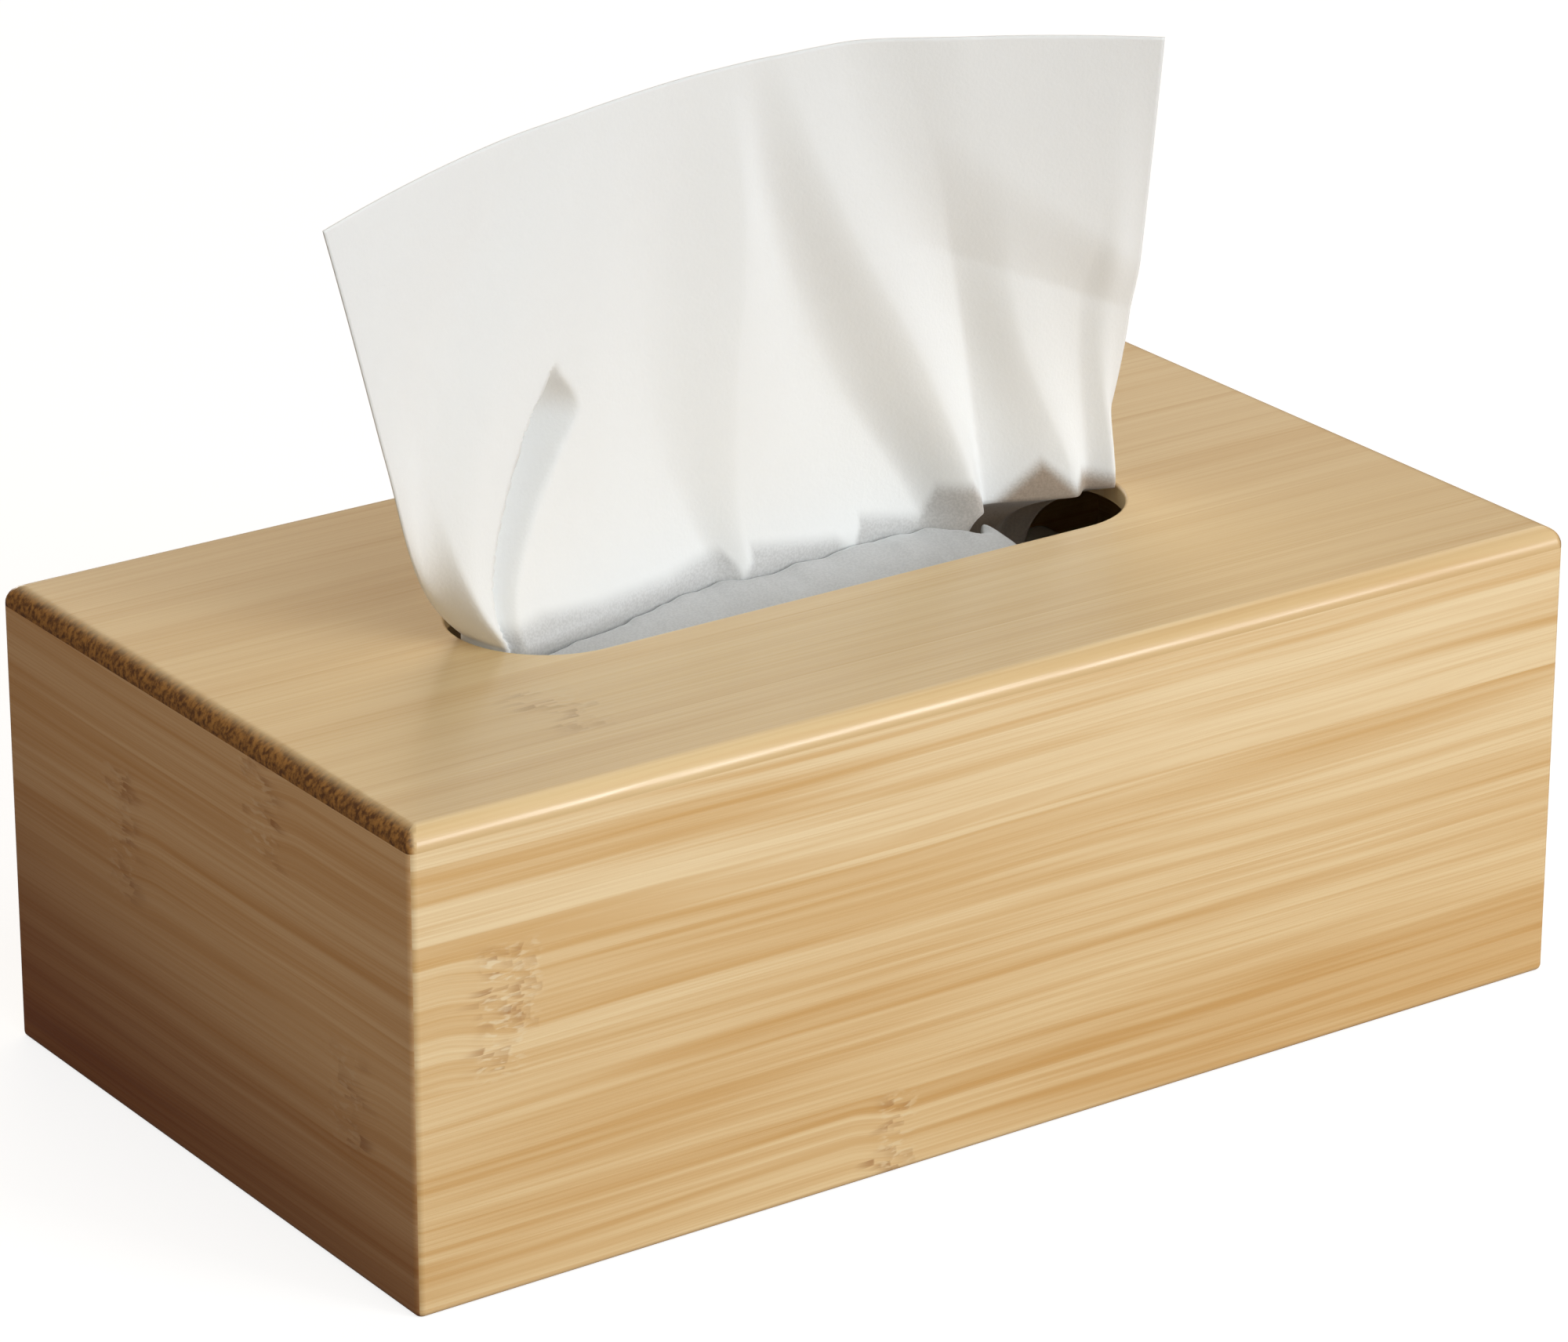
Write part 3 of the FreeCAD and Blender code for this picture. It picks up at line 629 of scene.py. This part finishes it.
# %% Fold lines
# each line: its place across the sheet from the left edge, how far it stands forward, both at four heights
# from the slot to the top edge, and how sharply it is creased
FOLD_LINES = (
    ((3.0, 6.0, 22.0, 48.0), (-0.8, -1.8, -2.0, -0.4), 0.0),
    ((8.0, 21.0, 45.0, 66.0), (0.8, 1.4, 1.2, 0.4), 0.0),
    ((20.0, 46.0, 58.0, 70.0), (0.4, 0.9, 1.0, 0.3), 0.0),
    ((74.0, 70.0, 79.0, 92.0), (-0.8, -1.6, -1.3, -0.1), 0.0),
    ((82.5, 90.0, 99.0, 101.0), (2.2, 2.4, 1.1, 0.0), 0.5),
    ((132.0, 116.5, 107.5, 106.0), (-1.8, -2.4, -1.4, 0.0), 0.0),
    ((144.0, 136.0, 121.5, 113.0), (4.2, 3.8, 2.6, 0.3), 0.2),
    ((148.5, 150.5, 145.0, 137.0), (-1.2, -2.4, -0.9, -0.1), 0.5),
    ((169.0, 161.5, 157.0, 156.0), (2.2, 1.6, 0.2, 0.0), 0.3),
    ((174.0, 176.0, 178.0, 178.0), (-1.2, -0.9, 0.0, 0.0), 0.4),
    ((181.0, 182.0, 183.0, 184.0), (0.8, 0.4, 0.0, 0.0), 0.2),
    ((188.0, 188.0, 188.0, 188.0), (0.0, 0.0, 0.0, 0.0), 0.0),
)
print("fold lines", len(FOLD_LINES))


# %% Between the fold lines
def at_height(values, up):
    """A smooth value between the four that a fold line has from the slot to the top edge."""
    place = min(max(up, 0.0), 1.0) * 3
    low = min(int(place), 2)
    share = place - low
    before, first, second, after = (values[min(max(low + step, 0), 3)] for step in (-1, 0, 1, 2))
    turn = 2 * before - 5 * first + 4 * second - after
    bend = 3 * (first - second) + after - before
    return first + 0.5 * share * (second - before + share * (turn + share * bend))


def between_lines(start, end, share, start_sharp, end_sharp):
    """The rise from one fold line to the next: level at a soft line, straight into a sharp one."""
    square, cube = share ** 2, share ** 3
    rise = 3 * square - 2 * cube
    rise = rise + (cube - 2 * square + share) * start_sharp + (cube - square) * end_sharp
    return mix(start, end, rise)


print("the first ridge passes", round(at_height(FOLD_LINES[1][0], 0.5), 1), "mm in at half height")

# %% [markdown]
# ## The dart and the cross fold
# At the left the slot folds the sheet over itself: behind the flap's edge it drops back, and comes forward
# again along a slope that widens upwards and closes at half height. At the upper right a soft fold runs
# across, where the tissue had been folded in the pack.

# %% The dart, the cross fold and all folds together
DART_PLACES = (9.5, 29.5, 60.0, 80.0)
DART_SLOPE, DART_TOP, DART_CLOSING = 0.9, 51.5, 14.0
DART_EDGE, DART_WIDTH_LOW, DART_WIDTH_RISE = 0.9, 4.0, 26.0
CROSS_FOLD_START, CROSS_FOLD_FULL = 125.0, 150.0
CROSS_FOLD_LOW, CROSS_FOLD_HIGH = (60.0, 37.0), (90.0, 48.0)
CROSS_FOLD_STEP = 3.0


def cross_fold(place, up):
    along = (place - CROSS_FOLD_START) / (TISSUE_WIDTH - CROSS_FOLD_START)
    low, high = mix(*CROSS_FOLD_LOW, along), mix(*CROSS_FOLD_HIGH, along)
    fade = ease((place - CROSS_FOLD_START) / (CROSS_FOLD_FULL - CROSS_FOLD_START))
    rise = min(max((up * STANDING_HEIGHT - low) / (high - low), 0.0), 1.0)
    return CROSS_FOLD_STEP * fade * (1 - (1 - rise) ** 2 + ease(rise)) / 2


def dart(place, up):
    """How far the sheet drops back behind the flap's edge, before it comes forward again."""
    beyond = place - at_height(DART_PLACES, up)
    closing = (up * STANDING_HEIGHT - DART_TOP + DART_CLOSING) / DART_CLOSING
    width = (DART_WIDTH_LOW + DART_WIDTH_RISE * up) * (1 - ease(closing))
    return DART_SLOPE * ease(beyond / DART_EDGE) * max(width - max(beyond, 0), 0)


def folds(share, up):
    """How far all the folds bring the sheet forward."""
    place = share * TISSUE_WIDTH
    before = (0.0, 0.0, 0.0)  # the sheet's left edge: its place, its rise and how sharp it is
    for places, depths, sharp in FOLD_LINES:
        line = (at_height(places, up), at_height(depths, up), sharp)
        if place <= line[0]:
            break
        before = line
    step = (place - before[0]) / max(line[0] - before[0], SHEET_THICKNESS)
    forward = between_lines(before[1], line[1], min(step, 1.0), before[2], line[2])
    return forward + cross_fold(place, up) - dart(place, up)


print("folds at a quarter, a half and three quarters of the width, half way up:",
      [round(folds(share, 0.5), 1) for share in (0.25, 0.5, 0.75)])

# %% [markdown]
# ## The standing part
# Above the rim the sheet fans out from its line in the slot to its top edge, which is wider than the slot,
# bows backwards in the middle and drops towards its two corners. The folds then bring it forward or back.

# %% A point of the standing part
def pulled_point(share, height):
    """A point of the sheet, at a share of its width and a height above the slot's rim."""
    up = max(height / STANDING_HEIGHT, 0.0)
    rim_x, rim_y = rim_place(share)
    straight_x = mix(-1, 1, share) * (SLOT_LENGTH / 2 - END_GAP)
    straight = ease(up / CURL_REACH)
    rim_x, rim_y = mix(rim_x, straight_x, straight), mix(rim_y, slot_line(straight_x), straight)
    from_middle = abs(2 * share - 1)
    top_x = mix(TOP_EDGE_LEFT, TOP_EDGE_RIGHT, share)
    top_y = TOP_EDGE_BACK - (TOP_EDGE_FORWARD + TOP_EDGE_BACK) * from_middle ** 2
    fanned = mix(up, 1 - (1 - up) ** LEFT_BULGE_POWER, LEFT_BULGE)
    x = mix(rim_x, top_x, mix(fanned, up, share))
    y = mix(rim_y, top_y, up ** LEAN_POWER)
    inside = ease(share * TISSUE_WIDTH / LEFT_CURL) * ease((1 - share) * TISSUE_WIDTH / RIGHT_CURL)
    y = y - folds(share, up) * mix(inside, 1.0, up)
    peak = TOP_EDGE_PEAK / TISSUE_WIDTH
    left_drop = TOP_EDGE_DROP_LEFT * max(1 - share / peak, 0) ** TOP_EDGE_DROP_POWER
    right_drop = TOP_EDGE_DROP_RIGHT * max((share - peak) / (1 - peak), 0) ** TOP_EDGE_DROP_POWER
    return x, y, RIM_Z + height - (left_drop + right_drop) * up ** 2


print("top corners", [[round(value) for value in pulled_point(share, STANDING_HEIGHT)] for share in (0, 1)])

# %% [markdown]
# ## The part inside the box
# Below the rim the sheet hangs down to the pack, bends, and lies back along it. Its right side turns back at
# once below the rim and draws in, so the slot lies open there.

# %% Points inside the box
BEND_RADIUS, BEND_LIFT, BEND_FADE, BEND_SHARE = 6.0, 1.8, 4, 0.6
REAR_INSET, LYING_GAP, HANGING_GAP = 6.0, 0.5, 0.3
LYING_Z = PACK_TOP + LYING_GAP
TURN_START, TURN_FULL = 36.0, 52.0
TURN_BACK, TURN_IN, TURN_POWER = 15.0, 7.0, 6


def turned_back(x, depth):
    """How far the right side has turned back, at a share of its way from the rim to the pack."""
    return ease((x - TURN_START) / (TURN_FULL - TURN_START)) * (1 - (1 - depth) ** TURN_POWER)


def hanging_point(x, y, z, depth):
    """A point of the sheet below the rim, at a share of its way down to the pack."""
    turned = turned_back(x, depth)
    back = mix(y, BEND_RADIUS, ease(depth) / 2) + turned * TURN_BACK
    return x - turned * TURN_IN, back, mix(z, PACK_TOP + HANGING_GAP + BEND_RADIUS / 2, depth)


def lying_point(x, y, run):
    """A point of the sheet on the pack, at a share of its way to the rear."""
    turned = turned_back(x, 1.0)
    start = mix(y, BEND_RADIUS, BEND_SHARE) + BEND_RADIUS + turned * TURN_BACK
    lift = BEND_LIFT * (1 - run) ** BEND_FADE
    return x - turned * TURN_IN, mix(start, PACK_BACK - REAR_INSET, run), LYING_Z + lift


print("the sheet hangs", round(RIM_Z - LYING_Z, 1), "mm down to the pack")

# %% [markdown]
# ## The painted shade at the foot
# The slot's shade is painted up the sheet's foot, with an edge of small tips and hollows. Its edge is given
# as places across the sheet with their heights above the rim, and it is soft.

# %% The painted shade at the foot of the sheet
PAINTED_SHADE_EDGE = ((0, -6), (6, -5), (12, 3), (24, 4), (39, 2), (61, 1), (78, 3), (81.5, -3.5), (85, 3), (109, -1),
             (114.5, -5), (117, 2), (133, -1), (136.5, 6), (143, 6), (148.5, -2.5), (154, 2), (162, 8),
             (169, 1.5), (172, 4), (181, 2), (188, 1))
SHADE_SOFTNESS = 4.5
# painted shade: grey, and browner towards the right between BROWN_START and BROWN_FULL
PAINTED_SHADE_GREY, PAINTED_SHADE_BROWN = (0.68, 0.67, 0.67), (0.42, 0.33, 0.26)
BROWN_START, BROWN_FULL = 128.0, 158.0


def painted_shade_height(share):
    """How far above the rim the painted shade of the slot reaches up the sheet."""
    place = share * TISSUE_WIDTH
    for (start, low), (end, high) in zip(PAINTED_SHADE_EDGE, PAINTED_SHADE_EDGE[1:]):
        if place <= end:
            break
    return mix(low, high, min((place - start) / (end - start), 1.0))


def painted_slot_shade(share, z):
    """The painted shade of a point: white above the foot, grey below it, and browner to the right."""
    amount = ease(0.5 + (RIM_Z + painted_shade_height(share) - z) / SHADE_SOFTNESS)
    brown = ease((share * TISSUE_WIDTH - BROWN_START) / (BROWN_FULL - BROWN_START))
    return [mix(1.0, mix(grey, dark, brown), amount) for grey, dark in zip(PAINTED_SHADE_GREY, PAINTED_SHADE_BROWN)]


print("the foot in the middle reaches", round(painted_shade_height(0.5), 1), "mm above the rim")

# %% [markdown]
# ## From points to a sheet
# The points form a grid, and each four neighbours make one face. That gives a surface without thickness, so
# the Solidify modifier gives it some, and the result is kept as plain mesh.

# %% Rows of points, and the sheet through them
COLUMNS, STANDING_ROWS, HANGING_ROWS, LYING_ROWS = 260, 130, 24, 16


def pulled_rows():
    """The whole sheet as rows of points, from the top edge down into the box and back along the pack."""
    shares = [column / (COLUMNS - 1) for column in range(COLUMNS)]
    rows = []
    for number in range(STANDING_ROWS):
        part = number / (STANDING_ROWS - 1)
        rows.append([pulled_point(share, STANDING_HEIGHT * (1 - part)) for share in shares])
    foot = rows[-1]
    for number in range(1, HANGING_ROWS + 1):
        rows.append([hanging_point(x, y, z, number / (HANGING_ROWS + 1)) for x, y, z in foot])
    for number in range(LYING_ROWS):
        rows.append([lying_point(x, y, number / (LYING_ROWS - 1)) for x, y, z in foot])
    return rows


def sheet_object(name, rows, thickness, painted_shades):
    """A thin sheet through rows of points, each with its painted shade as a colour."""
    width = len(rows[0])
    points = [tuple(value * MM for value in corner) for row in rows for corner in row]
    faces = []
    for row in range(len(rows) - 1):
        for column in range(width - 1):
            corner = row * width + column
            faces.append((corner, corner + width, corner + width + 1, corner + 1))
    mesh = bpy.data.meshes.new(name)
    mesh.from_pydata(points, [], faces)
    attribute = mesh.color_attributes.new(SHADE_NAME, "FLOAT_COLOR", "POINT")
    attribute.data.foreach_set("color", [value for tone in painted_shades for value in (*tone, 1.0)])
    sheet = bpy.data.objects.new(name, mesh)
    bpy.context.scene.collection.objects.link(sheet)
    thick = sheet.modifiers.new("thickness", "SOLIDIFY")
    thick.thickness = thickness * MM
    thick.offset = 0.0
    shaped = bpy.data.meshes.new_from_object(sheet.evaluated_get(bpy.context.evaluated_depsgraph_get()))
    sheet.modifiers.clear()
    sheet.data = shaped
    shaped.shade_smooth()
    return sheet


print("grid of", COLUMNS, "by", STANDING_ROWS + HANGING_ROWS + LYING_ROWS, "points")

# %% The pulled sheet
rows = pulled_rows()
# the painted shade of each point of the pulled sheet
painted_shades = [painted_slot_shade(column / (COLUMNS - 1), z) for row in rows for column, (x, y, z) in enumerate(row)]
pulled = sheet_object("pulled_sheet", rows, SHEET_THICKNESS, painted_shades)
pulled.data.materials.append(tissue)
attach(pulled, "box")
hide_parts("pulled_tissue")
print("pulled sheet", len(pulled.data.polygons), "faces")

# %% [markdown]
# ## The next tissue
# Each tissue is folded into the one before, so a pull brings up the next one too. Squeezed into the slot
# in front of the pulled sheet, it fills the gap behind the near rim with lumps and fine crinkles. It lies in
# the slot's shade, which is painted into its colour as a greyer tone, and the same painted shade reaches up
# the foot of the pulled sheet.

# %% Profile of the next tissue
NEXT_START, NEXT_END = 9.0, 147.0
NEXT_COLUMNS, NEXT_ROWS = 260, 110
PACK_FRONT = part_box("tissue_stack")[0].y / MM
NEXT_RIM_GAP, NEXT_FRONT_INSET = 3.0, 6.0
# its rows from the front of the pack to the free edge: the share of the way to the near rim, the share of
# the way from there to the pulled sheet and the length beyond it, the depth below the rim, and how much it
# crumples
NEXT_PROFILE = (
    (0.0, 0.0, 0.0, 28.0, 0.0),
    (0.55, 0.0, 0.0, 26.0, 0.2),
    (0.85, 0.0, 0.0, 20.0, 0.5),
    (1.0, 0.0, 0.0, 7.5, 0.6),
    (1.0, 0.22, 0.0, 4.6, 1.0),
    (1.0, 0.6, 0.0, 3.6, 1.0),
    (1.0, 0.95, 0.0, 3.2, 0.6),
    (1.0, 1.0, 0.4, 5.0, 0.0),
)
# painted shade: the whole next sheet is greyer
NEXT_PAINTED_SHADE = (0.77, 0.75, 0.745)
CRUMPLE_DEPTH, CRUMPLE_LENGTH = 1.3, 7.0
CRINKLE_DEPTH, CRINKLE_LENGTH, CRINKLE_SHIFT = 0.45, 2.6, 50


print("next tissue up to", min(row[3] for row in NEXT_PROFILE), "mm below the rim")


# %% Its crinkles and its rows of points
def crumple(x, y):
    """Lumps and finer crinkles of the squeezed sheet."""
    lumps = CRUMPLE_DEPTH * solid_noise.noise(Vector((x, y, 0)) / CRUMPLE_LENGTH)
    return lumps + CRINKLE_DEPTH * solid_noise.noise(Vector((x, y, CRINKLE_SHIFT)) / CRINKLE_LENGTH)


def next_rows():
    near = -SLOT_WIDTH / 2 + NEXT_RIM_GAP
    front = PACK_FRONT + NEXT_FRONT_INSET
    feet = []
    for column in range(NEXT_COLUMNS):
        share = mix(NEXT_START, NEXT_END, column / (NEXT_COLUMNS - 1)) / TISSUE_WIDTH
        feet.append(pulled_point(share, 0.0)[:2])
    lines = []
    for to_rim, to_sheet, beyond, below, waves in NEXT_PROFILE:
        line = []
        for x, foot_y in feet:
            y = mix(mix(front, near, to_rim), foot_y - SHEET_THICKNESS, to_sheet) + beyond
            line.append((x, y, RIM_Z - below + waves * crumple(x, y)))
        lines.append(line)
    rows = []
    for number in range(NEXT_ROWS):
        place = (len(lines) - 1) * (1 - number / (NEXT_ROWS - 1))
        low = min(int(place), len(lines) - 2)
        share = place - low
        four = [lines[min(max(low + step, 0), len(lines) - 1)] for step in (-1, 0, 1, 2)]
        row = []
        for before, first, second, after in zip(*four):
            x, y, z = (b + 0.5 * share * (c - a + share * (2 * a - 5 * b + 4 * c - d + share
                       * (3 * (b - c) + d - a))) for a, b, c, d in zip(before, first, second, after))
            row.append((x, y, max(z, LYING_Z)))
        rows.append(row)
    return rows


print("lumps up to", CRUMPLE_DEPTH, "mm and crinkles up to", CRINKLE_DEPTH, "mm")

# %% The next sheet
rows = next_rows()
upcoming = sheet_object("next_sheet", rows, SHEET_THICKNESS, [NEXT_PAINTED_SHADE] * sum(map(len, rows)))
upcoming.data.materials.append(tissue)
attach(upcoming, "box")
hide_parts("next_tissue")
print("next sheet", len(upcoming.data.polygons), "faces")

# %% [markdown]
# ## The floor
# The photograph has a white ground. The floor looks white to the camera, and takes only a soft shadow, but it
# sends little warm light back to the object, as a real table does. Light Path tells the two apart.

# %% Floor
GLOSS_SHARE = 0.1
FLOOR_SIZE = 12.0
FLOOR_WHITE, FLOOR_GLOW, FLOOR_DIM = (0.36, 0.36, 0.36, 1), 0.80, colour(110, 84, 58)
WHITE = (1, 1, 1, 1)


def seen_directly(tree):
    """A mask of the rays that show the ground itself: the camera's, those through glass, a few in gloss."""
    path = add(tree, "ShaderNodeLightPath")
    seen = maths(tree, "MAXIMUM", path.outputs["Is Camera Ray"], path.outputs["Is Transmission Ray"])
    return maths(tree, "MAXIMUM", seen, maths(tree, "MULTIPLY", path.outputs["Is Glossy Ray"], GLOSS_SHARE))


def make_floor():
    bpy.ops.mesh.primitive_plane_add(size=FLOOR_SIZE, location=(0, 0, 0))
    floor = bpy.context.object
    floor.name = "floor"
    material = bpy.data.materials.new("pale floor")
    material.use_nodes = True
    tree = material.node_tree
    tree.nodes.clear()
    seen = seen_directly(tree)
    white = add(tree, "ShaderNodeBsdfDiffuse", {"Color": FLOOR_WHITE})
    glow = add(tree, "ShaderNodeEmission", {"Color": WHITE, "Strength": FLOOR_GLOW})
    shown = add(tree, "ShaderNodeAddShader", {0: white.outputs[0], 1: glow.outputs[0]})
    dim = add(tree, "ShaderNodeBsdfDiffuse", {"Color": FLOOR_DIM})
    both = add(tree, "ShaderNodeMixShader", {0: seen, 1: dim.outputs[0], 2: shown.outputs[0]})
    output = add(tree, "ShaderNodeOutputMaterial")
    tree.links.new(both.outputs[0], output.inputs["Surface"])
    floor.data.materials.append(material)
    return floor


floor = make_floor()
print("floor", FLOOR_SIZE, "m wide")

# %% [markdown]
# ## The world
# Behind the floor the world is white to the camera too. To the object it is only a faint warm light, like
# that of a room round the table.

# %% World
AMBIENT, AMBIENT_TINT = 0.10, (1.0, 0.45, 0.25, 1.0)


def make_world():
    world = bpy.data.worlds.new("studio")
    bpy.context.scene.world = world
    world.use_nodes = True
    tree = world.node_tree
    tree.nodes.clear()
    seen = seen_directly(tree)
    soft = add(tree, "ShaderNodeBackground", {"Color": AMBIENT_TINT, "Strength": AMBIENT})
    white = add(tree, "ShaderNodeBackground", {"Color": WHITE, "Strength": 1.0})
    both = add(tree, "ShaderNodeMixShader", {0: seen, 1: soft.outputs[0], 2: white.outputs[0]})
    output = add(tree, "ShaderNodeOutputWorld")
    tree.links.new(both.outputs[0], output.inputs["Surface"])


make_world()
print("world of strength", AMBIENT)

# %% [markdown]
# ## The lamps
# A low soft key lamp at the front right lights the front more than the top, while the left side falls away
# into shade. A large fill stands above the front, a second one behind the box warms the top, a low one lights
# its back, and a small glow keeps the left side from going black.

# %% Lamps
BOX_MIDDLE = Vector((0, 0, 0.06))
LAMP_DISTANCE = 2.2


def around(heading, height_angle):
    """A place seen from the box: the heading is measured from its front towards its right, in degrees."""
    heading, height_angle = math.radians(heading), math.radians(height_angle)
    away = Vector((math.sin(heading) * math.cos(height_angle), -math.cos(heading) * math.cos(height_angle),
                   math.sin(height_angle)))
    return away * LAMP_DISTANCE + BOX_MIDDLE


def area_lamp(name, place, aim, width, height, power, tint):
    """A soft rectangular lamp that faces its aim point."""
    data = bpy.data.lights.new(name, "AREA")
    data.shape = "RECTANGLE"
    data.size, data.size_y = width, height
    data.energy = power
    data.color = tint
    lamp = bpy.data.objects.new(name, data)
    bpy.context.scene.collection.objects.link(lamp)
    lamp.location = place
    lamp.rotation_euler = (place - aim).to_track_quat("Z", "Y").to_euler()
    lamp.visible_camera = False
    return lamp


area_lamp("low key", around(28, 9), BOX_MIDDLE, 0.8, 0.6, 31.0, (0.98, 1.0, 1.0))
area_lamp("front fill", around(0, 45), BOX_MIDDLE, 2.0, 2.0, 24.5, (0.87, 0.95, 0.97))
area_lamp("back fill", around(135, 45), BOX_MIDDLE, 1.6, 1.6, 16.4, (1.0, 0.89, 0.68))
area_lamp("rear fill", around(170, 8), BOX_MIDDLE, 0.8, 0.6, 8.0, (0.88, 0.95, 1.0))
area_lamp("left glow", Vector((-0.42, -0.12, 0.32)), Vector((-0.126, 0, 0.06)), 0.3, 0.3, 0.42,
          (0.95, 1.0, 0.90))
bpy.context.scene.view_settings.view_transform = "Standard"
